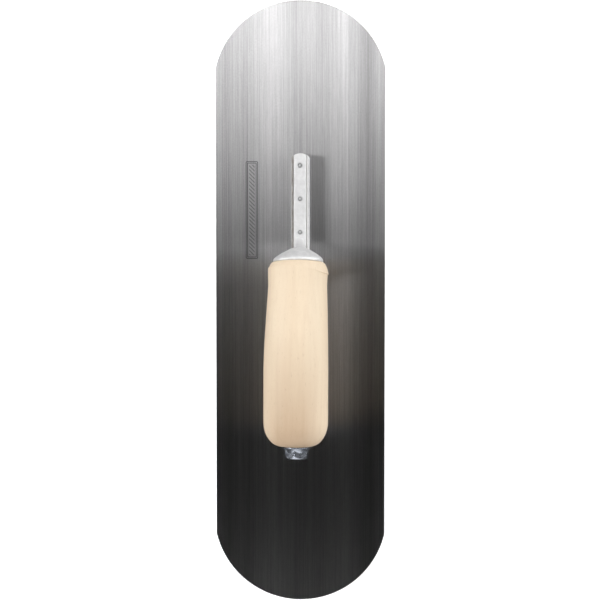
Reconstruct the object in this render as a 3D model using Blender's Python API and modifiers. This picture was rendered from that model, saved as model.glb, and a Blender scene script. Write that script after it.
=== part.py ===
"""Steel finishing trowel with a round-ended blade, riveted aluminium mounting and bolted wooden handle.

Metres, +Z up. The origin is the middle of the blade's working face, +Y points to the toe and +X to the
right of someone who looks down on the tool with the toe away from them.
"""

from math import cos, exp, pi, radians, sin, sqrt

import bmesh
import bpy
from mathutils import Vector

# Blade: 16 in by 4 1/2 in sheet with both ends cut to an arc a little flatter than a half circle.
BLADE_LENGTH = 0.4064
BLADE_WIDTH = 0.1143
BLADE_THICKNESS = 0.0008
BLADE_END_RADIUS = 0.0587

# Gaps that keep neighbouring solids apart.
FACE_GAP = 0.0003
ROUND_GAP = 0.0002

# Mounting: a T-shaped rib along the blade, with the shank and the cup for the handle cast on it.
RIB_LENGTH = 0.1955
RIB_MIDDLE = 0.0030
FLANGE_WIDTH = 0.0122
FLANGE_THICKNESS = 0.0022
RIB_FOOT_WIDTH = 0.0088
RIB_TOP_WIDTH = 0.0076
RIB_TOP = 0.0098
TOE_RADIUS = 0.0082
TOE_CORNER = 0.0012

# Rivets stand at every station along the rib, apart from the one under the shank.
RIVET_PITCH = 0.02235
RIVET_STATIONS = (4, 3, 2, 0, -1, -2, -3, -4)
RIVET_RADIUS = 0.0016
RIVET_HEAD_RADIUS = 0.0027
RIVET_RECESS = 0.00005

# Handle axis: from the middle of the cup's rim towards the heel, rising a little.
CUP_Y = 0.0285
CUP_HEIGHT = 0.050
HANDLE_RISE = radians(1.5)

# The cup's rim leans back from square to that axis, and the handle's front end leans with it.
CUP_TILT = radians(6.5)
LEAN_REACH = 0.060

# Shank: where its front and rear edges stand at the height of the cup's middle, how far they lean back for
# each metre of height, and the height below which the rear edge sweeps back to the rib.
SHANK_FRONT = 0.0380
SHANK_FRONT_LEAN = 0.105
SHANK_REAR = 0.0293
SHANK_REAR_LEAN = 0.14
SHANK_KNEE = 0.036
SHANK_KNEE_LEAN = 0.28
SHANK_TOP = 0.0558
SHANK_CROWN = 0.047
SHANK_HALF_WIDTH = 0.0033

# Cup: a rim and a domed back with a blunt nose, a recess that locates the handle and a socket for the bolt.
CUP_RADIUS = 0.0162
CUP_NOSE = 0.0100
RECESS_RADIUS = 0.0135
RECESS_DEPTH = 0.0015
SOCKET_DEPTH = 0.0070

# Handle: turned, then bent upwards between its ends.
HANDLE_LENGTH = 0.119
HANDLE_RADIUS = 0.0210
SWELL_DISTANCE = 0.070
WAIST_RADIUS = 0.0190
WAIST_DISTANCE = 0.0155
BEAD_RADIUS = 0.0194
FRONT_RADIUS = 0.0169
BUTT_RADIUS = 0.0098
BUTT_ROUNDING = 0.0160
HANDLE_HUMP = 0.0028
HANDLE_BORE = 0.0052

# Handle bolt: 3/8 in with a 9/16 in hexagon on a flange.
BOLT_RADIUS = 0.00476
HEX_ACROSS_FLATS = 0.01429
BOLT_FLANGE_RADIUS = 0.00953
BOLT_FLANGE_RIM = 0.0010
BOLT_CONE_TOP = 0.0038
BOLT_HEAD_HEIGHT = 0.0080
HEX_TURN = radians(8)

MOUNTING_FOOT = BLADE_THICKNESS + FACE_GAP
ROUND_STEPS = 48
RIVET_STEPS = 24


def clear_scene():
    """Removes every object of the startup scene."""
    for obj in list(bpy.data.objects):
        bpy.data.objects.remove(obj, do_unlink=True)


def new_collection(name):
    """A collection linked to the scene."""
    collection = bpy.data.collections.new(name)
    bpy.context.scene.collection.children.link(collection)
    return collection


def material(name, colour, roughness, metallic):
    """A Principled material with one colour."""
    made = bpy.data.materials.new(name)
    made.use_nodes = True
    shader = made.node_tree.nodes["Principled BSDF"]
    shader.inputs["Base Color"].default_value = (*colour, 1)
    shader.inputs["Roughness"].default_value = roughness
    shader.inputs["Metallic"].default_value = metallic
    return made


def add(name, mesh, collection, finish=None):
    """A new object for this mesh."""
    obj = bpy.data.objects.new(name, mesh)
    collection.objects.link(obj)
    if finish:
        mesh.materials.append(finish)
    return obj


def arc(centre, radius, start, end, steps):
    """Points along an arc, both ends included."""
    angles = [start + (end - start) * i / steps for i in range(steps + 1)]
    return [(centre[0] + radius * cos(a), centre[1] + radius * sin(a)) for a in angles]


def plate(name, outline, thickness):
    """A mesh of a flat outline, from z = 0 up to its thickness."""
    curve = bpy.data.curves.new(name, "CURVE")
    curve.dimensions = "2D"
    curve.fill_mode = "BOTH"
    curve.extrude = thickness / 2
    spline = curve.splines.new("POLY")
    spline.points.add(len(outline) - 1)
    for point, (x, y) in zip(spline.points, outline):
        point.co = (x, y, 0, 1)
    spline.use_cyclic_u = True
    drawn = bpy.data.objects.new(name + "_outline", curve)
    bpy.context.scene.collection.objects.link(drawn)
    mesh = bpy.data.meshes.new_from_object(drawn.evaluated_get(bpy.context.evaluated_depsgraph_get()))
    bpy.data.objects.remove(drawn)
    shape = bmesh.new()
    shape.from_mesh(mesh)
    bmesh.ops.remove_doubles(shape, verts=shape.verts, dist=1e-6)
    bmesh.ops.translate(shape, verts=shape.verts, vec=(0, 0, thickness / 2))
    shape.to_mesh(mesh)
    shape.free()
    return mesh


def turned(name, profile, steps, collection, finish=None):
    """A solid of revolution about its own Z; the profile of (radius, z) runs from the top down."""
    mesh = bpy.data.meshes.new(name)
    shape = bmesh.new()
    corners = [shape.verts.new((r, 0, z)) for r, z in profile]
    for first, second in zip(corners, corners[1:]):
        shape.edges.new((first, second))
    shape.to_mesh(mesh)
    shape.free()
    obj = add(name, mesh, collection, finish)
    screw = obj.modifiers.new("Turn", "SCREW")
    screw.steps = screw.render_steps = steps
    screw.use_merge_vertices = True
    screw.merge_threshold = 1e-6
    return obj


def baked(obj):
    """A mesh of the object with its modifiers applied, in the object's own space."""
    bpy.context.view_layer.update()
    return bpy.data.meshes.new_from_object(obj.evaluated_get(bpy.context.evaluated_depsgraph_get()))


def loft(name, rings):
    """A closed mesh through rings of the same number of points, capped at both ends."""
    mesh = bpy.data.meshes.new(name)
    shape = bmesh.new()
    loops = [[shape.verts.new(point) for point in ring] for ring in rings]
    for lower, upper in zip(loops, loops[1:]):
        for i, corner in enumerate(lower):
            j = (i + 1) % len(lower)
            shape.faces.new((corner, lower[j], upper[j], upper[i]))
    shape.faces.new(loops[0][::-1])
    shape.faces.new(loops[-1])
    bmesh.ops.recalc_face_normals(shape, faces=shape.faces)
    shape.to_mesh(mesh)
    shape.free()
    return mesh


def combine(obj, operation, other):
    """Adds a Boolean modifier and hides the other object."""
    boolean = obj.modifiers.new(operation.title(), "BOOLEAN")
    boolean.operation = operation
    boolean.solver = "EXACT"
    boolean.object = other
    other.hide_render = True
    other.display_type = "WIRE"


def smooth(obj, angle=radians(35)):
    """Smooth shading with sharp edges kept."""
    obj.data.shade_smooth()
    obj.data.set_sharp_from_angle(angle=angle)


def axis_at_cup(name, rise, collection):
    """An empty at the cup's rim whose Z points to the heel, rising a little, and whose Y points up."""
    empty = bpy.data.objects.new(name, None)
    empty.location = (0, CUP_Y, CUP_HEIGHT)
    empty.rotation_euler = (pi / 2 - rise, 0, 0)
    collection.objects.link(empty)
    return empty


def rivet_places():
    """Number and Y of each rivet, from toe to heel."""
    return [(i + 1, RIB_MIDDLE + station * RIVET_PITCH) for i, station in enumerate(RIVET_STATIONS)]


def blade_outline():
    """The blade's outline: two straight sides and two arcs."""
    half = BLADE_WIDTH / 2
    reach = sqrt(BLADE_END_RADIUS**2 - half**2)
    centre = BLADE_LENGTH / 2 - BLADE_END_RADIUS
    side = pi / 2 - Vector((half, reach)).angle(Vector((0, 1)))
    toe = arc((0, centre), BLADE_END_RADIUS, side, pi - side, ROUND_STEPS)
    return toe + [(-x, -y) for x, y in toe]


def make_blade(collection, cutters, finish):
    """The sheet, with a countersunk hole for each rivet."""
    blade = add("blade", plate("blade", blade_outline(), BLADE_THICKNESS), collection, finish)
    margin = 0.0005
    head = RIVET_HEAD_RADIUS + ROUND_GAP
    neck = RIVET_RADIUS + ROUND_GAP
    flare = (head - neck) / BLADE_THICKNESS
    profile = [
        (0, BLADE_THICKNESS + margin),
        (neck - flare * margin, BLADE_THICKNESS + margin),
        (head + flare * margin, -margin),
        (0, -margin),
    ]
    for number, y in rivet_places():
        hole = turned(f"countersink_{number}", profile, RIVET_STEPS, cutters)
        hole.location = (0, y, 0)
        combine(blade, "DIFFERENCE", hole)
    return blade


def rib_outline(width):
    """A long strip with flat-arched ends and small round corners."""
    half = width / 2
    inner = TOE_RADIUS - TOE_CORNER
    corner_x = half - TOE_CORNER
    centre = RIB_LENGTH / 2 - TOE_RADIUS
    corner_y = centre + sqrt(inner**2 - corner_x**2)
    turn = Vector((corner_x, corner_y - centre)).angle(Vector((1, 0)))
    right = arc((corner_x, corner_y), TOE_CORNER, 0, turn, 4)
    front = arc((0, centre), TOE_RADIUS, turn, pi - turn, 12)
    left = arc((-corner_x, corner_y), TOE_CORNER, pi - turn, pi, 4)
    toe = right[:-1] + front + left[1:]
    return [(x, y + RIB_MIDDLE) for x, y in toe] + [(-x, RIB_MIDDLE - y) for x, y in toe]


def make_rib(cutters):
    """The drafted rib that stands on the flange, as a loft from its foot to its rounded top."""
    edge = 0.0007
    taper = (RIB_FOOT_WIDTH - RIB_TOP_WIDTH) / (RIB_TOP - MOUNTING_FOOT)
    levels = [(MOUNTING_FOOT + FLANGE_THICKNESS / 2, 0)]
    levels += [(RIB_TOP - edge * (1 - sin(a)), edge * (1 - cos(a))) for a in (0, pi / 6, pi / 3, pi / 2)]
    rings = []
    for z, inset in levels:
        width = RIB_TOP_WIDTH + taper * (RIB_TOP - z) - 2 * inset
        shorten = 1 - 2 * inset / RIB_LENGTH
        rings.append([(x, RIB_MIDDLE + (y - RIB_MIDDLE) * shorten, z) for x, y in rib_outline(width)])
    return add("rib", loft("rib", rings), cutters)


def shank_section(z):
    """Front edge, rear edge and half width of the shank at this height."""
    above = max(z - RIB_TOP, 0)
    front_fillet = 0.0014 * exp(-above / 0.0018)
    rear_fillet = 0.0080 * exp(-above / 0.0040)
    side_fillet = 0.0005 * exp(-above / 0.0040)
    sweep = SHANK_KNEE_LEAN * max(SHANK_KNEE - z, 0)
    front = SHANK_FRONT - SHANK_FRONT_LEAN * (z - CUP_HEIGHT) + front_fillet
    rear = SHANK_REAR + SHANK_REAR_LEAN * (z - CUP_HEIGHT) - sweep - rear_fillet
    half_width = SHANK_HALF_WIDTH + side_fillet
    crown = max(0, (z - SHANK_CROWN) / (SHANK_TOP + 0.0002 - SHANK_CROWN))
    shrink = sqrt(max(1 - crown**2, 0.02))
    middle, depth = (front + rear) / 2, (front - rear) / 2 * shrink
    return middle + depth, middle - depth, half_width * shrink


def make_shank(cutters):
    """The shank, a loft of flat rounded sections from inside the rib to inside the cup."""
    points, squareness, levels = 40, 0.62, 22
    low, high = RIB_TOP - 0.0015, SHANK_TOP
    rings = []
    for i in range(levels + 1):
        z = low + (high - low) * (i / levels)
        front, rear, half_width = shank_section(z)
        ring = []
        for j in range(points):
            angle = 2 * pi * j / points
            c, s = cos(angle), sin(angle)
            x = half_width * abs(c) ** squareness * (1 if c > 0 else -1)
            y = (front - rear) / 2 * abs(s) ** squareness * (1 if s > 0 else -1)
            ring.append((x, (front + rear) / 2 + y, z))
        rings.append(ring)
    return add("shank", loft("shank", rings), cutters)


def make_cup(cup_axis, cutters):
    """The outside of the cup: rim, domed back and nose."""
    profile = [
        (0, 0),
        (CUP_RADIUS - 0.0003, 0),
        (CUP_RADIUS, -0.0003),
        (CUP_RADIUS, -0.0010),
        (0.0158, -0.0020),
        (0.0140, -0.0037),
        (0.0112, -0.0056),
        (0.0080, -0.0075),
        (0.0060, -0.0088),
        (0.0040, -0.0096),
        (0, -CUP_NOSE),
    ]
    cup = turned("cup", profile, ROUND_STEPS, cutters)
    cup.parent = cup_axis
    return cup


def make_cutter(name, radius, depth, axis, cutters):
    """A round cutter that goes into the cup from its rim."""
    margin = 0.002
    profile = [(0, margin), (radius, margin), (radius, -depth), (0, -depth)]
    cutter = turned(name, profile, ROUND_STEPS, cutters)
    cutter.parent = axis
    return cutter


def make_mounting(axis, cup_axis, collection, cutters, finish):
    """Flange, rib, shank and cup as one casting, drilled for the rivets."""
    mesh = plate("mounting", rib_outline(FLANGE_WIDTH), FLANGE_THICKNESS)
    mounting = add("mounting", mesh, collection, finish)
    mounting.location = (0, 0, MOUNTING_FOOT)
    for piece in (make_rib(cutters), make_shank(cutters), make_cup(cup_axis, cutters)):
        combine(mounting, "UNION", piece)
    socket_radius = BOLT_RADIUS + ROUND_GAP
    combine(mounting, "DIFFERENCE", make_cutter("recess", RECESS_RADIUS, RECESS_DEPTH, cup_axis, cutters))
    combine(mounting, "DIFFERENCE", make_cutter("socket", socket_radius, SOCKET_DEPTH, axis, cutters))
    drill = RIVET_RADIUS + ROUND_GAP
    for number, y in rivet_places():
        profile = [(0, RIB_TOP + 0.002), (drill, RIB_TOP + 0.002), (drill, 0), (0, 0)]
        hole = turned(f"rivet_hole_{number}", profile, RIVET_STEPS, cutters)
        hole.location = (0, y, 0)
        combine(mounting, "DIFFERENCE", hole)
    smooth(mounting)
    return mounting


def make_rivets(collection, finish):
    """Countersunk rivets, flush under the blade and spun over on top of the rib."""
    edge = 0.0003
    profile = [
        (0, RIB_TOP),
        (RIVET_RADIUS - edge, RIB_TOP),
        (RIVET_RADIUS, RIB_TOP - edge),
        (RIVET_RADIUS, BLADE_THICKNESS),
        (RIVET_HEAD_RADIUS, RIVET_RECESS),
        (0, RIVET_RECESS),
    ]
    for number, y in rivet_places():
        rivet = turned(f"rivet_{number}", profile, RIVET_STEPS, collection, finish)
        rivet.location = (0, y, 0)
        smooth(rivet)


def handle_profile():
    """Radius and distance from the cup's rim along the handle, from the butt to the spigot."""
    butt = [(0, HANDLE_LENGTH)]
    for i in range(11):
        angle = pi / 2 * i / 10
        r = BUTT_RADIUS + (HANDLE_RADIUS - BUTT_RADIUS) * sin(angle)
        butt.append((r, HANDLE_LENGTH - BUTT_ROUNDING * (1 - cos(angle))))
    body = []
    for i in range(12, -1, -1):
        share = i / 12
        r = WAIST_RADIUS + (HANDLE_RADIUS - WAIST_RADIUS) * (1 - (1 - share) ** 1.4)
        body.append((r, WAIST_DISTANCE + (SWELL_DISTANCE - WAIST_DISTANCE) * share))
    front = [
        (BEAD_RADIUS - 0.0003, 0.0110),
        (BEAD_RADIUS, 0.0075),
        (BEAD_RADIUS - 0.0002, 0.0045),
        (BEAD_RADIUS - 0.0006, 0.0028),
        (FRONT_RADIUS, FACE_GAP),
    ]
    spigot = RECESS_RADIUS - FACE_GAP
    tip = FACE_GAP - RECESS_DEPTH
    return butt + body + front + [(spigot, FACE_GAP), (spigot, tip), (0, tip)]


def make_handle(axis, collection, cutters, finish):
    """The wooden handle: turned, bent upwards in the middle, leant to the cup in front and bored."""
    blank = turned("handle_blank", handle_profile(), ROUND_STEPS, cutters)
    handle = add("handle", baked(blank), collection, finish)
    bpy.data.objects.remove(blank)
    for vertex in handle.data.vertices:
        along = min(max(vertex.co.z / HANDLE_LENGTH, 0), 1)
        inside = min(vertex.co.z, 0)
        lean = CUP_TILT * (1 - min(max(vertex.co.z / LEAN_REACH, 0), 1)) ** 2
        y, z = vertex.co.y, vertex.co.z
        vertex.co.z = z * cos(lean) - y * sin(lean)
        vertex.co.y = y * cos(lean) + inside * sin(lean) + HANDLE_HUMP * sin(pi * along) ** 2
    handle.parent = axis
    margin = 0.002
    profile = [
        (0, HANDLE_LENGTH + margin),
        (HANDLE_BORE, HANDLE_LENGTH + margin),
        (HANDLE_BORE, -RECESS_DEPTH - margin),
        (0, -RECESS_DEPTH - margin),
    ]
    bore = turned("handle_bore", profile, ROUND_STEPS, cutters)
    bore.parent = axis
    combine(handle, "DIFFERENCE", bore)
    smooth(handle)
    return handle


def make_bolt(axis, collection, cutters, finish):
    """The handle bolt: shank and flange turned, with a hexagon chamfered at its end."""
    seat = HANDLE_LENGTH + FACE_GAP
    end = seat + BOLT_HEAD_HEIGHT
    tip = 2 * FACE_GAP - SOCKET_DEPTH
    inner = HEX_ACROSS_FLATS / 2 - 0.0006
    profile = [
        (0, end - 0.0010),
        (inner, end - 0.0010),
        (inner, seat + BOLT_CONE_TOP),
        (BOLT_FLANGE_RADIUS - 0.0002, seat + BOLT_FLANGE_RIM + 0.0002),
        (BOLT_FLANGE_RADIUS, seat + BOLT_FLANGE_RIM - 0.0002),
        (BOLT_FLANGE_RADIUS, seat),
        (BOLT_RADIUS, seat),
        (BOLT_RADIUS, tip + 0.0010),
        (BOLT_RADIUS - 0.0010, tip),
        (0, tip),
    ]
    bolt = turned("handle_bolt", profile, ROUND_STEPS, collection, finish)
    bolt.parent = axis
    hexagon = bpy.data.meshes.new("hexagon")
    shape = bmesh.new()
    corner = HEX_ACROSS_FLATS / sqrt(3)
    depth = end - seat - BOLT_FLANGE_RIM / 2
    bmesh.ops.create_cone(shape, cap_ends=True, segments=6, radius1=corner, radius2=corner, depth=depth)
    bmesh.ops.translate(shape, verts=shape.verts, vec=(0, 0, end - depth / 2))
    shape.to_mesh(hexagon)
    shape.free()
    head = add("hexagon", hexagon, cutters)
    head.parent = axis
    head.rotation_euler = (0, 0, HEX_TURN)
    chamfer_profile = [
        (0, end + 0.001),
        (HEX_ACROSS_FLATS / 2 - 0.0022, end + 0.001),
        (corner + 0.001, end - 0.0014),
        (corner + 0.001, seat),
        (0, seat),
    ]
    chamfer = turned("hexagon_chamfer", chamfer_profile, ROUND_STEPS, cutters)
    chamfer.parent = axis
    combine(head, "INTERSECT", chamfer)
    combine(bolt, "UNION", head)
    smooth(bolt)
    return bolt


def main():
    clear_scene()
    trowel = new_collection("finishing_trowel")
    cutters = new_collection("cutters")
    steel = material("blade_steel", (0.42, 0.42, 0.43), 0.32, 1.0)
    casting = material("cast_aluminium", (0.82, 0.82, 0.82), 0.42, 1.0)
    rivet_steel = material("rivet_steel", (0.62, 0.62, 0.63), 0.40, 1.0)
    wood = material("handle_wood", (0.86, 0.72, 0.53), 0.62, 0.0)
    zinc = material("zinc_plated_steel", (0.62, 0.66, 0.72), 0.34, 1.0)
    axis = axis_at_cup("handle_axis", HANDLE_RISE, trowel)
    cup_axis = axis_at_cup("cup_axis", HANDLE_RISE + CUP_TILT, trowel)
    make_blade(trowel, cutters, steel)
    make_mounting(axis, cup_axis, trowel, cutters, casting)
    make_rivets(trowel, rivet_steel)
    make_handle(axis, trowel, cutters, wood)
    make_bolt(axis, trowel, cutters, zinc)


main()
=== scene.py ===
"""Steel finishing trowel: fine surfaces, finishes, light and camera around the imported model.

Metres, +Z up. The blade lies on the floor at z = 0, +Y points to its toe, and the handle's axis starts over
the blade's middle line. The finishes come first, then the pieces that wear them, then the studio.
"""

import logging
from dataclasses import dataclass, field
from enum import Enum
from math import asin, cos, exp, hypot, pi, radians, sin, sqrt

import bmesh
import bpy
from mathutils import Matrix, Vector


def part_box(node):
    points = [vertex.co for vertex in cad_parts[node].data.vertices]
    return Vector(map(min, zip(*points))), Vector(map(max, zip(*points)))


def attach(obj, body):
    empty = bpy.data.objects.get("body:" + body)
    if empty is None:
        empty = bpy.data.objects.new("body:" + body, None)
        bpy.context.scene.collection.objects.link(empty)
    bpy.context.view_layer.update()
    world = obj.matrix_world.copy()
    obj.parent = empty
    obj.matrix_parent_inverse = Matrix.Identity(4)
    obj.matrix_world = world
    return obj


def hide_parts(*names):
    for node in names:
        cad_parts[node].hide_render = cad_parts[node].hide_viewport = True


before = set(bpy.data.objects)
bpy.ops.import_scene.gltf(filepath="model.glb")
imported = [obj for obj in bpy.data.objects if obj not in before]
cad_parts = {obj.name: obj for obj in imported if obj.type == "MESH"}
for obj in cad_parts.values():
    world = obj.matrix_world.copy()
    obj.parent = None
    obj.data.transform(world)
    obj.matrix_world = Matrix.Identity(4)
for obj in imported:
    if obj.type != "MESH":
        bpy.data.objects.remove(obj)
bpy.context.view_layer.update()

LOG = logging.getLogger("trowel")
ROOT = "root"
MERGE = 1e-6
RIVET_COUNT = 8
HANDLE_RISE = radians(1.5)

Point2 = tuple[float, float]
Colour = tuple[float, float, float]
Mesh = bmesh.types.BMesh
Socket = bpy.types.NodeSocket


class Shade(Enum):
    """How a piece's faces are shaded."""

    ROUND = radians(30)
    CAST = radians(50)


# -------------------- shaping


def arc(centre: Point2, radius: float, start: float, end: float, steps: int) -> list[Point2]:
    """Points along an arc.

    Args:
        centre: The arc's centre.
        radius: Its radius.
        start: The angle of the first point.
        end: The angle of the last point.
        steps: How many chords the arc has.

    Returns:
        The points, both ends included.
    """
    angles = (start + (end - start) * i / steps for i in range(steps + 1))
    return [(centre[0] + radius * cos(a), centre[1] + radius * sin(a)) for a in angles]


def ease(share: float) -> float:
    """A smooth step from 0 to 1."""
    share = min(max(share, 0.0), 1.0)
    return share * share * (3 - 2 * share)


def loop(shape: Mesh, points: list[Vector]) -> list[bmesh.types.BMEdge]:
    """Draws a closed loop of edges.

    Args:
        shape: The mesh to draw in.
        points: The loop's corners in order.

    Returns:
        The new edges.
    """
    verts = [shape.verts.new(point) for point in points]
    return [shape.edges.new((verts[i - 1], verts[i])) for i in range(len(verts))]


def mend(shape: Mesh) -> None:
    """Merges doubles and turns every face outwards."""
    bmesh.ops.remove_doubles(shape, verts=shape.verts, dist=MERGE)
    bmesh.ops.dissolve_degenerate(shape, edges=shape.edges, dist=MERGE / 10)
    bmesh.ops.recalc_face_normals(shape, faces=shape.faces)


def spun(profile: list[Point2], steps: int, closed: bool = False) -> Mesh:
    """A solid of revolution about Z.

    Args:
        profile: Radius and height of each corner.
        steps: How many faces go round.
        closed: True when the profile is a ring that stays clear of the axis.

    Returns:
        The turned mesh.
    """
    shape = bmesh.new()
    verts = [shape.verts.new((r, 0, z)) for r, z in profile]
    edges = [shape.edges.new(pair) for pair in zip(verts, verts[1:])]
    if closed:
        edges.append(shape.edges.new((verts[-1], verts[0])))
    bmesh.ops.spin(
        shape,
        geom=verts + edges,
        cent=(0, 0, 0),
        axis=(0, 0, 1),
        angle=2 * pi,
        steps=steps,
        use_merge=True,
        use_duplicate=False,
    )
    mend(shape)
    return shape


def stacked(rings: list[list[Vector]]) -> Mesh:
    """A closed skin through rings of equal size, each one extruded from the last.

    Args:
        rings: The rings from the bottom to the top.

    Returns:
        The mesh, capped at both ends.
    """
    shape = bmesh.new()
    edges = loop(shape, rings[0])
    bmesh.ops.contextual_create(shape, geom=edges)
    for ring in rings[1:]:
        grown = bmesh.ops.extrude_edge_only(shape, edges=edges)["geom"]
        verts = [item for item in grown if isinstance(item, bmesh.types.BMVert)]
        edges = [item for item in grown if isinstance(item, bmesh.types.BMEdge)]
        edges = [edge for edge in edges if all(v in set(verts) for v in edge.verts)]
        for vert, place in zip(verts, ring):
            vert.co = place
    bmesh.ops.contextual_create(shape, geom=edges)
    mend(shape)
    return shape


def as_object(shape: Mesh, name: str) -> bpy.types.Object:
    """Turns a bmesh into an object of the scene and frees it.

    Args:
        shape: The finished mesh.
        name: The object's name.

    Returns:
        The object, at the origin.
    """
    mesh = bpy.data.meshes.new(name)
    shape.to_mesh(mesh)
    shape.free()
    obj = bpy.data.objects.new(name, mesh)
    bpy.context.scene.collection.objects.link(obj)
    return obj


def apply_modifiers(obj: bpy.types.Object) -> None:
    """Keeps what the modifiers make as the object's mesh and drops the modifiers."""
    bpy.context.view_layer.update()
    graph = bpy.context.evaluated_depsgraph_get()
    result = bpy.data.meshes.new_from_object(obj.evaluated_get(graph), depsgraph=graph)
    obj.modifiers.clear()
    obj.data = result


def carve(obj: bpy.types.Object, operation: str, tool: Mesh) -> None:
    """Joins or cuts an object with a closed mesh.

    Args:
        obj: The object that changes.
        operation: UNION, DIFFERENCE or INTERSECT.
        tool: The closed mesh, which is used up.
    """
    helper = as_object(tool, "helper")
    boolean = obj.modifiers.new(operation.title(), "BOOLEAN")
    boolean.operation = operation
    boolean.solver = "EXACT"
    boolean.object = helper
    apply_modifiers(obj)
    bpy.data.objects.remove(helper, do_unlink=True)


def remesh(obj: bpy.types.Object, voxel: float, rounds: int, factor: float = 0.5) -> None:
    """Gives an object one even skin and softens its inner and outer corners.

    Args:
        obj: The object that changes.
        voxel: The size of the skin's faces.
        rounds: How often the skin is relaxed.
        factor: How far each relaxing goes.
    """
    even = obj.modifiers.new("Even", "REMESH")
    even.mode = "VOXEL"
    even.voxel_size = voxel
    apply_modifiers(obj)
    shape = bmesh.new()
    shape.from_mesh(obj.data)
    for _ in range(rounds):
        bmesh.ops.smooth_vert(
            shape, verts=shape.verts, factor=factor, use_axis_x=True, use_axis_y=True, use_axis_z=True
        )
    shape.to_mesh(obj.data)
    shape.free()


def shade(obj: bpy.types.Object, how: Shade) -> None:
    """Smooth shading that keeps edges sharper than the given angle."""
    obj.data.shade_smooth()
    obj.data.set_sharp_from_angle(angle=how.value)


def dress(obj: bpy.types.Object, finish: bpy.types.Material, slot: str, *nodes: str) -> None:
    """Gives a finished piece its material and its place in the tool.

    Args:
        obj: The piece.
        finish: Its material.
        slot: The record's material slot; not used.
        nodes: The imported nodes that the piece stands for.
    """
    obj.data.materials.clear()
    obj.data.materials.append(finish)
    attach(obj, ROOT)
    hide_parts(*nodes)
    LOG.info("%s: %d faces, stands for %s", obj.name, len(obj.data.polygons), ", ".join(nodes))


# -------------------- finishes


def dimmed(colour: Colour, share: float) -> Colour:
    """The same hue at a share of its brightness."""
    return tuple(channel * share for channel in colour)


class NodeKit:
    """A node tree, with short calls that add and join its nodes."""

    def __init__(self, tree: bpy.types.NodeTree) -> None:
        """Takes up a tree that already has its output."""
        self.tree = tree

    def add(self, kind: str, **settings: object) -> bpy.types.Node:
        """Adds a node and sets its properties."""
        node = self.tree.nodes.new(kind)
        for key, value in settings.items():
            setattr(node, key, value)
        return node

    def feed(self, node: bpy.types.Node, *values: object) -> bpy.types.Node:
        """Fills a node's inputs in order.

        Args:
            node: The node.
            values: A number, colour or socket for each input, or None to leave one alone.

        Returns:
            The same node.
        """
        for socket, value in zip(node.inputs, values):
            if isinstance(value, Socket):
                self.tree.links.new(value, socket)
            elif value is not None:
                socket.default_value = value
        return node

    def math(self, operation: str, *values: object) -> Socket:
        """A Math node's result."""
        return self.feed(self.add("ShaderNodeMath", operation=operation), *values).outputs[0]

    def times(self, first: object, second: object) -> Socket:
        """Two values multiplied."""
        return self.math("MULTIPLY", first, second)

    def split(self, vector: Socket) -> bpy.types.NodeOutputs:
        """A vector's three coordinates."""
        return self.feed(self.add("ShaderNodeSeparateXYZ"), vector).outputs

    def ramp(self, value: Socket, stops: tuple[Point2, ...]) -> Socket:
        """A ramp of grey values.

        Args:
            value: What drives it.
            stops: Position and grey value of each stop.

        Returns:
            The ramp's colour.
        """
        node = self.add("ShaderNodeValToRGB")
        elements = node.color_ramp.elements
        while len(elements) < len(stops):
            elements.new(0.5)
        for element, (position, tone) in zip(elements, stops):
            element.position = position
            element.color = (tone, tone, tone, 1)
        self.tree.links.new(value, node.inputs[0])
        return node.outputs[0]


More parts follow.
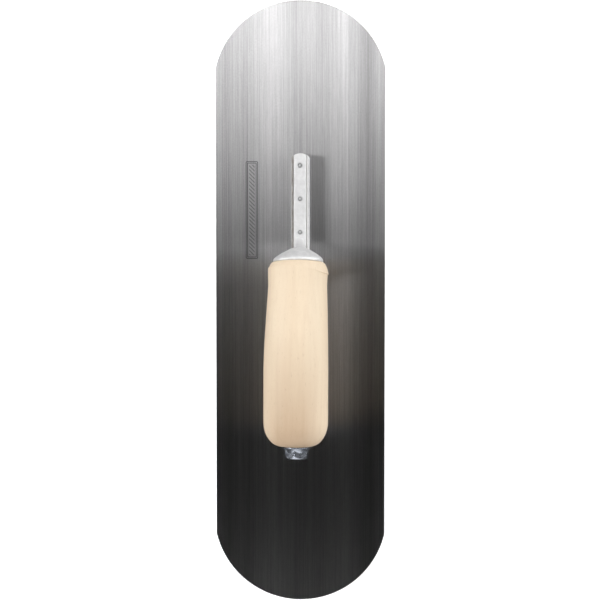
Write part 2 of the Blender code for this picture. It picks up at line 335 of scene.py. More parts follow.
class NodeBoard(NodeKit):
    """A material's node tree."""

    def __init__(self, name: str, roughness: float, metallic: float) -> None:
        """Starts a material.

        Args:
            name: The material's name.
            roughness: The shader's roughness where nothing else drives it.
            metallic: 1 for bare metal, 0 for anything that isn't metal.
        """
        self.material = bpy.data.materials.new(name)
        self.material.use_nodes = True
        super().__init__(self.material.node_tree)
        self.shader = self.tree.nodes["Principled BSDF"]
        self.shader.inputs["Roughness"].default_value = roughness
        self.shader.inputs["Metallic"].default_value = metallic
        self.space = self.add("ShaderNodeTexCoord").outputs["Object"]

    def places(self, scale: tuple = (1, 1, 1), turn: tuple = (0, 0, 0)) -> Socket:
        """The piece's own coordinates, turned and then stretched."""
        mapping = self.add("ShaderNodeMapping", vector_type="POINT")
        return self.feed(mapping, self.space, None, turn, scale).outputs[0]

    def noise(
        self, where: Socket, scale: float, detail: float = 2, rough: float = 0.5
    ) -> Socket:
        """A noise pattern between 0 and 1.

        Args:
            where: The coordinates it reads.
            scale: How many features a metre holds.
            detail: How many finer layers it has.
            rough: How strong those layers are.

        Returns:
            The pattern's value.
        """
        node = self.add("ShaderNodeTexNoise", noise_dimensions="3D")
        self.tree.links.new(where, node.inputs["Vector"])
        node.inputs["Scale"].default_value = scale
        node.inputs["Detail"].default_value = detail
        node.inputs["Roughness"].default_value = rough
        return node.outputs["Fac"]

    def spread(
        self, value: Socket, low: float, high: float, new_low: float = 0.0, new_high: float = 1.0
    ) -> Socket:
        """Maps a range of values onto another, held at its ends."""
        node = self.add("ShaderNodeMapRange", clamp=True)
        return self.feed(node, value, low, high, new_low, new_high).outputs[0]

    def blend(self, share: object, first: object, second: object, mode: str = "MIX") -> Socket:
        """Mixes two colours."""
        node = self.add("ShaderNodeMix", data_type="RGBA", blend_type=mode)
        for index, value in zip((0, 6, 7), (share, first, second)):
            if isinstance(value, Socket):
                self.tree.links.new(value, node.inputs[index])
            else:
                node.inputs[index].default_value = value if index == 0 else (*value, 1)
        return node.outputs[2]

    def relief(self, height: Socket, depth: float, strength: float = 1.0) -> None:
        """Adds a bump of this depth on top of those already there."""
        node = self.add("ShaderNodeBump")
        node.inputs["Strength"].default_value = strength
        node.inputs["Distance"].default_value = depth
        self.tree.links.new(height, node.inputs["Height"])
        socket = self.shader.inputs["Normal"]
        if socket.is_linked:
            self.tree.links.new(socket.links[0].from_socket, node.inputs["Normal"])
        self.tree.links.new(node.outputs[0], socket)

    def colour(self, value: Socket) -> None:
        """Drives the base colour."""
        self.tree.links.new(value, self.shader.inputs["Base Color"])

    def roughness(self, value: Socket) -> None:
        """Drives the roughness."""
        self.tree.links.new(value, self.shader.inputs["Roughness"])


@dataclass(frozen=True)
class EtchedPanel:
    """A blank etched panel on the blade, with a plain double border and fine ruling."""

    middle: Point2 = (-0.0328, 0.0625)
    half_size: Point2 = (0.0039, 0.0327)
    corner: float = 0.0008
    line: float = 0.00034
    border_gap: float = 0.0010
    ruling_pitch: float = 0.0026
    upper_face: Point2 = (0.0004, 0.0006)

    def mask(self, board: NodeBoard) -> Socket:
        """How strongly each place of the blade is etched.

        Args:
            board: The blade's material.

        Returns:
            A value from 0 to 1.
        """
        axes = board.split(board.space)
        reach = []
        for axis, middle, half in zip(axes, self.middle, self.half_size):
            offset = board.math("ABSOLUTE", board.math("SUBTRACT", axis, middle))
            reach.append(board.math("SUBTRACT", offset, half - self.corner))
        outside = [board.math("MAXIMUM", value, 0.0) for value in reach]
        squares = [board.times(value, value) for value in outside]
        far = board.math("SQRT", board.math("ADD", *squares))
        inside = board.math("MINIMUM", board.math("MAXIMUM", *reach), 0.0)
        distance = board.math("SUBTRACT", board.math("ADD", far, inside), self.corner)
        lines = []
        for offset in (0.0, -self.border_gap):
            gap = board.math("ABSOLUTE", board.math("SUBTRACT", distance, offset))
            lines.append(board.spread(gap, self.line * 0.4, self.line, 1.0, 0.0))
        border = board.math("MAXIMUM", *lines)
        diagonal = board.math("ADD", axes[0], axes[1])
        ruling = board.math("SINE", board.times(diagonal, 2 * pi / self.ruling_pitch))
        ruled = board.spread(ruling, 0.0, 0.6, 0.0, 0.6)
        within = board.spread(distance, -self.border_gap * 2.2, -self.border_gap * 1.9, 1.0, 0.0)
        above = board.spread(axes[2], *self.upper_face)
        drawn = board.math("MAXIMUM", border, board.times(ruled, within))
        return board.times(drawn, above)


@dataclass(frozen=True)
class BrushedSteel:
    """Hardened sheet steel, belt-brushed lengthwise, with painted shade that darkens it at the heel and on
    the rear left.
    """

    reflectance: float = 0.49
    roughness: float = 0.30
    anisotropy: float = 1.0
    half_width: float = 0.0572
    painted_shade_tone: Colour = (0.62, 0.62, 0.62)
    heel_shade_share: float = 0.70
    heel_shade_reach: Point2 = (-0.11, -0.05)
    left_shade_share: float = 0.8
    left_shade_reach: Point2 = (-0.020, -0.010)
    left_shade_start: Point2 = (0.010, 0.036)
    etch: EtchedPanel = field(default_factory=EtchedPanel)
    etch_share: float = 0.85
    etch_tone: Colour = (0.06, 0.06, 0.065)
    belt_marks: tuple[Point2, ...] = (
        (0.02, 0.80), (0.06, 0.69), (0.14, 0.80), (0.18, 0.76), (0.26, 0.92),
        (0.32, 1.00), (0.42, 0.89), (0.47, 0.79), (0.57, 0.84), (0.62, 0.78),
        (0.70, 0.88), (0.77, 0.95), (0.83, 0.76), (0.905, 0.60), (0.97, 0.80),
    )

    def material(self) -> bpy.types.Material:
        """Builds the finish: broad belt marks, fine lines, faint grain, painted shade at the heel and rear
        left, and the etched panel.
        """
        board = NodeBoard("brushed_steel", self.roughness, 1.0)
        across, along, _ = board.split(board.space)
        side = board.spread(across, -self.half_width, self.half_width)
        waver = board.noise(board.places((1, 0.02, 1)), 160, 2)
        side = board.math("ADD", side, board.spread(waver, 0.3, 0.7, -0.012, 0.012))
        marks = board.ramp(side, self.belt_marks)
        fine = board.noise(board.places((1, 0.004, 1)), 1500, 3, 0.6)
        hair = board.noise(board.places((1, 0.02, 1)), 4200, 2, 0.5)
        grain = board.noise(board.places((1, 0.35, 1)), 2600, 1)
        fine_lines = board.spread(fine, 0.25, 0.75, 0.80, 1.18)
        lines = board.times(fine_lines, board.spread(hair, 0.2, 0.8, 0.88, 1.12))
        lines = board.times(lines, board.spread(grain, 0.2, 0.8, 0.90, 1.10))
        bare = (self.reflectance, self.reflectance * 0.99, self.reflectance)
        metal = board.blend(1.0, marks, bare, "MULTIPLY")
        grey = board.feed(board.add("ShaderNodeCombineXYZ"), lines, lines, lines).outputs[0]
        metal = board.blend(1.0, metal, grey, "MULTIPLY")
        # Painted shade: the steel is darkened towards the heel and on its rear left, where its reflection is
        # dimmer.
        heel = board.spread(along, *self.heel_shade_reach, self.heel_shade_share, 0.0)
        left = board.spread(across, *self.left_shade_reach, self.left_shade_share, 0.0)
        rear = board.spread(along, *self.left_shade_start, 1.0, 0.0)
        painted_shade_share = board.math("MAXIMUM", heel, board.times(left, rear))
        metal = board.blend(painted_shade_share, metal, board.blend(1.0, metal, self.painted_shade_tone, "MULTIPLY"))
        etched = board.times(self.etch.mask(board), self.etch_share)
        metal = board.blend(etched, metal, self.etch_tone)
        board.colour(metal)
        board.roughness(board.spread(fine, 0.3, 0.7, self.roughness - 0.02, self.roughness + 0.02))
        board.relief(fine, 0.000004, 0.3)
        board.shader.inputs["Anisotropic"].default_value = self.anisotropy
        tangent = board.add("ShaderNodeTangent", direction_type="UV_MAP")
        board.tree.links.new(tangent.outputs[0], board.shader.inputs["Tangent"])
        return board.material


@dataclass(frozen=True)
class CastAluminium:
    """A tumbled aluminium casting: pale satin, finely pebbled, with painted shade on the rib's flanks above
    the flange, darker on the left.
    """

    tint: Colour = (0.865, 0.865, 0.87)
    flank_shade: Colour = (0.24, 0.225, 0.21)
    flank_shade_foot: Point2 = (0.00325, 0.0036)
    flank_shade_top: Point2 = (0.0055, 0.0097)
    flank_shade_lower_left: float = 0.0004
    middle: Point2 = (-0.003, 0.003)
    roughness: float = 0.56
    metallic: float = 0.45

    def material(self) -> bpy.types.Material:
        """Builds the finish."""
        board = NodeBoard("cast_aluminium", self.roughness, self.metallic)
        patches = board.noise(board.places(), 260, 3, 0.55)
        skin = board.noise(board.places(), 2400, 3, 0.6)
        metal = board.blend(board.spread(patches, 0.35, 0.65), dimmed(self.tint, 0.88), self.tint)
        across, _, height = board.split(board.space)
        # Painted shade: a dark tone on the rib's flanks just above the flange, stronger and lower on the
        # left, a tenth of it higher up.
        lower = board.times(board.spread(across, *self.middle, 1.0, 0.0), self.flank_shade_lower_left)
        above = board.spread(board.math("ADD", height, lower), *self.flank_shade_foot)
        below = board.spread(height, *self.flank_shade_top, 1.0, 0.1)
        left = board.spread(across, *self.middle, 1.0, 0.85)
        uneven = board.spread(patches, 0.30, 0.62, 0.80, 1.0)
        sides = board.times(above, below)
        flank_shade = board.times(sides, board.times(left, uneven))
        board.colour(board.blend(flank_shade, metal, self.flank_shade))
        board.roughness(board.spread(patches, 0.3, 0.7, self.roughness + 0.05, self.roughness - 0.05))
        board.relief(skin, 0.00005, 0.35)
        board.relief(patches, 0.00012, 0.25)
        return board.material


@dataclass(frozen=True)
class RivetSteel:
    """Mild steel rivets, spun over and ground off, with painted shade in the spun ring's groove."""

    top: float
    tint: Colour = (0.76, 0.765, 0.77)
    groove_shade: Colour = (0.42, 0.42, 0.42)
    groove_shade_depths: Point2 = (0.00022, 0.00006)
    side_depths: Point2 = (0.0015, 0.0010)
    roughness: float = 0.48

    def material(self) -> bpy.types.Material:
        """Builds the finish."""
        board = NodeBoard("rivet_steel", self.roughness, 1.0)
        marks = board.noise(board.places(), 3000, 2)
        metal = board.blend(board.spread(marks, 0.3, 0.7), dimmed(self.tint, 0.8), self.tint)
        height = board.split(board.space)[2]
        # Painted shade: a dark tone in the spun ring's groove, below the top.
        groove = board.spread(height, *(self.top - depth for depth in self.groove_shade_depths), 1.0, 0.0)
        upper = board.spread(height, *(self.top - depth for depth in self.side_depths))
        board.colour(board.blend(board.times(groove, upper), metal, self.groove_shade))
        board.roughness(board.spread(marks, 0.3, 0.7, self.roughness - 0.06, self.roughness + 0.08))
        board.relief(marks, 0.00003, 0.3)
        return board.material


@dataclass(frozen=True)
class BareBasswood:
    """Pale turned basswood without varnish, with painted shade that darkens it towards the butt, least on
    its right side; fibres run along the handle.
    """

    light: Colour = (0.825, 0.695, 0.525)
    warm: Colour = (0.785, 0.61, 0.44)
    fibre: Colour = (0.67, 0.51, 0.36)
    pore: Colour = (0.52, 0.38, 0.25)
    butt_shade_tone: Colour = (0.66, 0.58, 0.52)
    butt_shade_reach: Point2 = (-0.080, -0.012)
    butt_shade_left: Point2 = (-0.0205, -0.0125)
    butt_shade_right: Point2 = (0.004, 0.018)
    roughness: float = 0.55
    gloss: float = 0.35

    def material(self) -> bpy.types.Material:
        """Builds the finish: growth figure, fine fibres, short pores, a sanded skin and painted shade
        towards the butt.
        """
        board = NodeBoard("bare_basswood", self.roughness, 0.0)
        turn = (HANDLE_RISE, 0, 0)
        figure = board.noise(board.places((1, 0.10, 1), turn), 55, 3, 0.55)
        rings = board.noise(board.places((1, 0.035, 1), turn), 330, 3, 0.6)
        fibres = board.noise(board.places((1, 0.05, 1), turn), 2600, 3, 0.65)
        pores = board.noise(board.places((1, 0.16, 1), turn), 1900, 1, 0.5)
        wood = board.blend(board.spread(figure, 0.32, 0.68, 0.0, 0.55), self.light, self.warm)
        wood = board.blend(board.spread(rings, 0.45, 0.75, 0.0, 0.22), wood, self.fibre)
        wood = board.blend(board.spread(fibres, 0.50, 0.80, 0.0, 0.20), wood, self.fibre)
        wood = board.blend(board.spread(pores, 0.66, 0.78, 0.0, 0.35), wood, self.pore)
        across, along, _ = board.split(board.space)
        # Painted shade: the wood darkens towards the butt, across the top and left, least on its right side.
        towards_butt = board.spread(along, *self.butt_shade_reach, 1.0, 0.0)
        left = board.spread(across, *self.butt_shade_left, 0.15, 1.0)
        sides = board.math("MINIMUM", left, board.spread(across, *self.butt_shade_right, 1.0, 0.0))
        uneven = board.spread(figure, 0.3, 0.7, 0.85, 1.0)
        painted_butt_shade = board.times(board.times(towards_butt, sides), uneven)
        board.colour(board.blend(painted_butt_shade, wood, self.butt_shade_tone, "MULTIPLY"))
        board.roughness(board.spread(fibres, 0.3, 0.7, self.roughness - 0.05, self.roughness + 0.08))
        board.relief(fibres, 0.00006, 0.25)
        board.relief(rings, 0.00010, 0.20)
        board.shader.inputs["Specular IOR Level"].default_value = self.gloss
        return board.material


@dataclass(frozen=True)
class ZincPlate:
    """Bright zinc plate with its blue cast, clouded here and there."""

    tint: Colour = (0.42, 0.45, 0.51)
    roughness: float = 0.25

    def material(self) -> bpy.types.Material:
        """Builds the finish."""
        board = NodeBoard("zinc_plate", self.roughness, 1.0)
        clouds = board.noise(board.places(), 420, 3, 0.6)
        clouded = board.spread(clouds, 0.35, 0.65)
        board.colour(board.blend(clouded, dimmed(self.tint, 0.82), self.tint))
        board.roughness(board.spread(clouds, 0.3, 0.7, self.roughness + 0.05, self.roughness - 0.03))
        return board.material


# -------------------- pieces


@dataclass(frozen=True)
class HandleAxis:
    """The line that handle and bolt share, from the middle of the cup's rim towards the heel."""

    start: tuple[float, float, float] = (0.0, 0.0285, 0.050)
    rise: float = HANDLE_RISE
    sideways: float = radians(-0.3)
    cup_tilt: float = radians(6.5)

    def matrix(self) -> Matrix:
        """Takes local Z to the axis and local Y to the handle's top."""
        turn = Matrix.Rotation(self.sideways, 4, "Z") @ Matrix.Rotation(pi / 2 - self.rise, 4, "X")
        return Matrix.Translation(self.start) @ turn

    def cup_matrix(self) -> Matrix:
        """The same for the cup, whose rim leans back from square to the axis."""
        return Matrix.Translation(self.start) @ Matrix.Rotation(pi / 2 - self.rise - self.cup_tilt, 4, "X")


@dataclass
class Blade:
    """The sheet: two straight sides, two round ends, eased edges and countersunk holes."""

    rivets: list[Point2]
    thickness: float = 0.0008
    end_radius: float = 0.0587
    edge_easing: float = 0.00014
    head_radius: float = 0.00278
    neck_radius: float = 0.00168
    end_steps: int = 120
    hole_steps: int = 48

    def outline(self) -> list[Vector]:
        """The blade's outline as one closed run of points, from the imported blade's size."""
        low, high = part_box("blade")
        half, length = high[0], high[1]
        side = asin(sqrt(self.end_radius**2 - half**2) / self.end_radius)
        toe = arc((0, length - self.end_radius), self.end_radius, side, pi - side, self.end_steps)
        heel = [(-x, -y) for x, y in toe]
        return [Vector((x, y, low[2])) for x, y in toe + heel]

    def build(self) -> bpy.types.Object:
        """Builds the blade's mesh.

        Returns:
            The object, with a UV map that runs across and along the blade.
        """
        shape = bmesh.new()
        edges = loop(shape, self.outline())
        circle = arc((0, 0), self.head_radius, 0, 2 * pi, self.hole_steps)[:-1]
        for x, y in self.rivets:
            edges += loop(shape, [Vector((x + a, y + b, 0)) for a, b in circle])
        bmesh.ops.triangle_fill(shape, use_beauty=True, edges=edges, normal=(0, 0, -1))
        grown = bmesh.ops.extrude_face_region(shape, geom=shape.faces[:])["geom"]
        raised = [item for item in grown if isinstance(item, bmesh.types.BMVert)]
        bmesh.ops.translate(shape, verts=raised, vec=(0, 0, self.thickness))
        for vert in raised:
            self.draw_in(vert)
        mend(shape)
        rim = [edge for edge in shape.edges if self.on_rim(edge)]
        bmesh.ops.bevel(
            shape, geom=rim, offset=self.edge_easing, segments=2, profile=0.5, affect="EDGES", material=-1
        )
        for face in shape.faces:
            face.smooth = abs(face.normal.z) < 0.999
        unwrapped = shape.loops.layers.uv.new("across_and_along")
        for face in shape.faces:
            for corner in face.loops:
                corner[unwrapped].uv = (corner.vert.co.x, corner.vert.co.y)
        return as_object(shape, "blade_sheet")

    def draw_in(self, vert: bmesh.types.BMVert) -> None:
        """Narrows a countersink where it meets the blade's upper face."""
        for x, y in self.rivets:
            away = Vector((vert.co.x - x, vert.co.y - y))
            if away.length < self.head_radius * 1.01:
                away.length = self.neck_radius
                vert.co.x, vert.co.y = x + away.x, y + away.y

    def on_rim(self, edge: bmesh.types.BMEdge) -> bool:
        """Tells whether an edge is one of the long edges round the outside."""
        if edge.calc_face_angle(0) < 1 or edge.verts[0].co.z != edge.verts[1].co.z:
            return False
        middle = (edge.verts[0].co + edge.verts[1].co) / 2
        return all(hypot(middle.x - x, middle.y - y) > self.head_radius * 1.1 for x, y in self.rivets)


@dataclass
class Mounting:
    """One casting: flange and rib on the blade, shank, and the cup that holds the handle."""

    axis: HandleAxis
    rivets: list[Point2]
    foot: float = 0.00083
    flange_width: float = 0.0123
    flange_top: float = 0.0032
    rib_foot_width: float = 0.0090
    rib_top_width: float = 0.0079
    toe_radius: float = 0.0082
    toe_corner: float = 0.0012
    fillet: float = 0.0007
    foot_easing: float = 0.0002
    flange_easing: float = 0.0004
    top_easing: float = 0.0006
    rib_shorter: float = 0.0003
    top_shorter: float = 0.0004
    hole_radius: float = 0.00172
    cup_radius: float = 0.0163
    recess_radius: float = 0.0135
    recess_depth: float = 0.0014
    socket_radius: float = 0.0049
    socket_depth: float = 0.0070
    shank_front: float = 0.0378
    front_slope: float = 0.105
    front_level: float = 0.052
    front_spread: Point2 = (0.0020, 0.0022)
    shank_rear: float = 0.0293
    rear_slope: float = 0.14
    rear_spread: Point2 = (0.0085, 0.0040)
    kick_slope: float = 0.28
    neck_level: float = 0.036
    cup_level: float = 0.050
    shank_half: float = 0.0034
    side_spread: Point2 = (0.0005, 0.0030)
    swell: Point2 = (0.0013, 0.014)
    crown: Point2 = (0.047, 0.009)
    shank_reach: Point2 = (0.0076, 0.0558)
    lean: float = 0.0010
    dome_lean: float = 0.8
    dome_depth: float = 0.010
    skin: float = 0.00028

    def end_outline(self, width: float, shorter: float, z: float) -> list[Vector]:
        """One level of the rib, seen from above.

        Args:
            width: How wide the rib is there.
            shorter: How far its ends stay behind those of the foot.
            z: The level's height.

        Returns:
            The closed outline, with a flat arch and two small corners at each end.
        """
        low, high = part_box("mounting")
        halfway, reach = (low[1] + high[1]) / 2, (high[1] - low[1]) / 2 - shorter
        half = width / 2
        inner = self.toe_radius - self.toe_corner
        corner_x = half - self.toe_corner
        rise = sqrt(inner**2 - corner_x**2)
        centre = reach - self.toe_radius
        turn = asin(rise / inner)
        right = arc((corner_x, centre + rise), self.toe_corner, 0, turn, 6)
        front = arc((0, centre), self.toe_radius, turn, pi - turn, 24)
        left = arc((-corner_x, centre + rise), self.toe_corner, pi - turn, pi, 6)
        toe = right[:-1] + front + left[1:]
        middle = self.side_steps(half, toe[0][1])
        ring = toe + [(-x, y) for x, y in middle]
        ring += [(-x, -y) for x, y in toe] + [(x, -y) for x, y in middle]
        return [Vector((x, y + halfway, z)) for x, y in ring]

    @staticmethod
    def side_steps(half: float, reach: float, steps: int = 24) -> list[Point2]:
        """Points along a straight side, from the toe towards the heel, ends left out."""
        return [(half, reach * (1 - 2 * i / steps)) for i in range(1, steps)]

    def levels(self) -> list[tuple[float, float, float]]:
        """Half width, shortening and height of each level, from the foot to the top."""
        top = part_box("rivet_1")[1][2]
        flange, foot, crest = self.flange_width / 2, self.rib_foot_width / 2, self.rib_top_width / 2
        easing = self.foot_easing
        found = [(flange - easing, easing, self.foot), (flange, 0.0, self.foot + easing)]
        easing = self.flange_easing
        for r, z in arc((flange - easing, self.flange_top - easing), easing, 0, pi / 2, 4):
            found.append((r, (flange - r) * 0.5, z))
        for r, z in arc((foot + self.fillet, self.flange_top + self.fillet), self.fillet, -pi / 2, -pi, 5):
            found.append((r, self.rib_shorter, z))
        easing = self.top_easing
        for r, z in arc((crest - easing, top - easing), easing, 0, pi / 2, 6):
            found.append((r, self.top_shorter + (crest - r), z))
        return found

    def rib(self) -> Mesh:
        """The flange and the drafted rib on it, in one skin."""
        return stacked([self.end_outline(2 * half, shorter, z) for half, shorter, z in self.levels()])

    def shank_ring(self, z: float, points: int = 72) -> list[Vector]:
        """One level of the shank: a rounded slab that narrows upwards and drifts to the right.

        It spreads where it meets the rib, thickens towards the cup and rounds off inside it.

        Args:
            z: The level's height.
            points: How many points the ring has.

        Returns:
            The closed ring.
        """
        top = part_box("rivet_1")[1][2]
        above = max(z - top, 0.0)
        spread, fade = self.front_spread
        front = self.shank_front + self.front_slope * (self.front_level - z) + spread * exp(-above / fade)
        spread, fade = self.rear_spread
        rear = self.shank_rear + self.rear_slope * (z - self.cup_level)
        rear = rear - self.kick_slope * max(self.neck_level - z, 0) - spread * exp(-above / fade)
        spread, fade = self.side_spread
        thicker, reach = self.swell
        half = self.shank_half + spread * exp(-above / fade) + thicker * ease((z - self.neck_level) / reach)
        crown_level, crown_height = self.crown
        crown = max(0.0, (z - crown_level) / crown_height)
        shrink = sqrt(max(1 - crown**2, 0.02))
        drift = self.lean * ease((z - top) / (self.cup_level - top))
        ring = []
        for i in range(points):
            c, s = cos(2 * pi * i / points), sin(2 * pi * i / points)
            x = half * shrink * abs(c) ** 0.42 * (1 if c > 0 else -1)
            y = (front - rear) / 2 * shrink * abs(s) ** 0.75 * (1 if s > 0 else -1)
            ring.append(Vector((x + drift, (front + rear) / 2 + y, z)))
        return ring

    def shank(self) -> Mesh:
        """The shank, from inside the rib to inside the cup."""
        (low, high), steps = self.shank_reach, 60
        return stacked([self.shank_ring(low + (high - low) * i / steps) for i in range(steps + 1)])

    def cup(self) -> Mesh:
        """The cup's outside: a rim band, then a domed back with a blunt nose."""
        rim = self.cup_radius
        profile = [
            (0, 0), (rim - 0.0002, 0), (rim, -0.0002), (rim, -0.0014), (0.0160, -0.0021),
            (0.0152, -0.0030), (0.0142, -0.0038), (0.0128, -0.0049), (0.0114, -0.0058), (0.0098, -0.0067),
            (0.0083, -0.0075), (0.0072, -0.0082), (0.0061, -0.0088), (0.0046, -0.0095), (0.0028, -0.0099),
            (0.0012, -0.0101), (0, -0.0101),
        ]
        shape = spun(profile, 128)
        for vert in shape.verts:
            vert.co.x += self.lean * self.dome_lean * ease(-vert.co.z / self.dome_depth)
        shape.transform(self.axis.cup_matrix())
        return shape

    def recess(self) -> Mesh:
        """The cutter for the recess that locates the handle."""
        margin, lead, r = 0.002, 0.0004, self.recess_radius
        profile = [(0, margin), (r + lead, margin), (r + lead, 0.0), (r, -lead)]
        shape = spun(profile + [(r, -self.recess_depth), (0, -self.recess_depth)], 96)
        shape.transform(self.axis.cup_matrix())
        return shape

    def socket(self) -> Mesh:
        """The cutter for the socket that the bolt screws into."""
        r, depth = self.socket_radius, self.socket_depth
        shape = spun([(0, 0.002), (r, 0.002), (r, -depth), (0, -depth)], 96)
        shape.transform(self.axis.matrix())
        return shape

    def build(self) -> bpy.types.Object:
        """Builds the casting's mesh.

        Returns:
            The object: shank and cup with soft cast corners, the rib, and the holes cut clean.
        """
        casting = as_object(self.cup(), "mounting_casting")
        carve(casting, "UNION", self.shank())
        remesh(casting, self.skin, rounds=14)
        carve(casting, "DIFFERENCE", self.recess())
        carve(casting, "DIFFERENCE", self.socket())
        carve(casting, "UNION", self.rib())
        tall = 0.02
        for x, y in self.rivets:
            hole = spun([(0, tall), (self.hole_radius, tall), (self.hole_radius, 0), (0, 0)], 48)
            bmesh.ops.translate(hole, verts=hole.verts, vec=(x, y, 0))
            carve(casting, "DIFFERENCE", hole)
        shade(casting, Shade.CAST)
        return casting


@dataclass
class Rivet:
    """One rivet: countersunk head under the blade, spun ring and centre dot on top of the rib."""

    number: int
    place: Point2
    radius: float = 0.00164
    head_radius: float = 0.00272
    head_depth: float = 0.0008
    recess: float = 0.00003
    groove: float = 0.00030

    def build(self) -> bpy.types.Object:
        """Builds the rivet's mesh.

        Returns:
            The object, in its place.
        """
        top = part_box(f"rivet_{self.number}")[1][2]
        r = self.radius
        profile = [
            (0, top - 0.00002),
            (0.00055, top - 0.00003),
            (0.00075, top - self.groove / 3),
            (0.00090, top - self.groove),
            (0.00124, top - self.groove),
            (0.00138, top - self.groove / 3),
            (r - 0.00018, top - 0.00002),
            (r - 0.00006, top - 0.00006),
            (r, top - 0.00018),
            (r, self.head_depth),
            (self.head_radius, self.recess + 0.00004),
            (self.head_radius - 0.00006, self.recess),
            (0, self.recess),
        ]
        shape = spun(profile, 48)
        bmesh.ops.translate(shape, verts=shape.verts, vec=(*self.place, 0))
        rivet = as_object(shape, f"rivet_{self.number}_spun")
        shade(rivet, Shade.ROUND)
        return rivet


@dataclass
class Handle:
    """The turned handle, with an uneven chamfer in front, a hump on top and a round butt."""

    axis: HandleAxis
    length: float = 0.119
    lean_reach: float = 0.060
    radius: float = 0.0210
    swell: float = 0.070
    waist_radius: float = 0.01905
    waist: float = 0.0155
    bead_radius: float = 0.0193
    bead: float = 0.0065
    butt_radius: float = 0.0098
    butt_rounding: float = 0.0160
    bore: float = 0.0052
    spigot_radius: float = 0.0132
    spigot: float = 0.0012
    face_gap: float = 0.00008
    chamfer_reach: Point2 = (0.0036, 0.0076)
    front_scale: float = 0.009
    front_radius: float = 0.0159
    front_growth: float = 0.0043
    front_power: float = 0.42
    front_lip: float = 0.0010
    blend_end: float = 0.020
    hump: float = 0.0028
    drift: float = -0.0009

    def body_radius(self, z: float) -> float:
        """The turned radius at this distance from the cup, butt left out."""
        if z < self.waist:
            share = ease(abs(z - self.bead) / (self.waist - self.bead))
            return self.bead_radius + (self.waist_radius - self.bead_radius) * share
        share = min((z - self.waist) / (self.swell - self.waist), 1.0)
        return self.waist_radius + (self.radius - self.waist_radius) * (1 - (1 - share) ** 1.4)

    def chamfer_radius(self, z: float) -> float:
        """The radius of the rounded front at this distance from the cup."""
        return self.front_radius + self.front_growth * (max(z, 0.0) / self.front_scale) ** self.front_power

    def chamfer_end(self, x: float, y: float) -> float:
        """Where the rounded front ends on this side of the handle: furthest on the right."""
        near, far = self.chamfer_reach
        turn = Vector((x, y)).normalized()
        return near + (far - near) * ease((turn.x - 0.12 * turn.y + 0.15) / 1.1) ** 1.2

    def profile(self) -> list[Point2]:
        """The closed profile, from the bore in front, over the outside, to the bore at the butt."""
        reach = self.spigot_radius
        front = [(self.bore, -self.spigot), (reach, -self.spigot), (reach, self.face_gap)]
        mark, end = self.chamfer_reach[0], self.length - self.butt_rounding
        chamfer = [self.face_gap + (mark - self.face_gap) * (i / 14) ** 1.5 for i in range(15)]
        body = [mark + 0.00001 + (end - mark) * i / 90 for i in range(91)]
        outside = [(self.chamfer_radius(z), z) for z in chamfer]
        outside += [(self.body_radius(z), z) for z in body]
        butt = []
        for i in range(1, 29):
            a = pi / 2 * (1 - i / 28)
            r = self.butt_radius + (self.radius - self.butt_radius) * sin(a)
            butt.append((r, self.length - self.butt_rounding * (1 - cos(a))))
        return front + outside + butt + [(self.bore, self.length)]

    def shape_vertex(self, vert: bmesh.types.BMVert) -> None:
        """Moves a vertex of the turned blank to the finished handle's surface.

        Args:
            vert: The vertex, in the axis's own space.
        """
        x, y, z = vert.co
        r = hypot(x, y)
        mark, blend_end = self.chamfer_reach[0], self.blend_end
        if r > self.spigot_radius + 0.0001 and self.face_gap <= z < blend_end:
            end = self.chamfer_end(x, y)
            if z <= mark:
                z = self.face_gap + (z - self.face_gap) * (end - self.face_gap) / (mark - self.face_gap)
                new_r = min(self.chamfer_radius(z), self.body_radius(z) + self.front_lip)
            else:
                z = end + (z - mark) * (blend_end - end) / (blend_end - mark)
                new_r = self.body_radius(z)
            x, y = x * new_r / r, y * new_r / r
        along = min(max(z / self.length, 0.0), 1.0)
        lean = self.axis.cup_tilt * (1 - min(max(z / self.lean_reach, 0.0), 1.0)) ** 2
        y, z = y * cos(lean) + min(z, 0.0) * sin(lean), z * cos(lean) - y * sin(lean)
        y += self.hump * sin(pi * along) ** 2
        x += self.drift * ease(along / 0.6)
        vert.co = (x, y, z)

    def build(self) -> bpy.types.Object:
        """Builds the handle's mesh.

        Returns:
            The object, in its place.
        """
        shape = spun(self.profile(), 144, closed=True)
        for vert in shape.verts:
            if hypot(vert.co.x, vert.co.y) > self.bore + 0.0001:
                self.shape_vertex(vert)
        shape.transform(self.axis.matrix())
        handle = as_object(shape, "handle_wood")
        shade(handle, Shade.ROUND)
        return handle


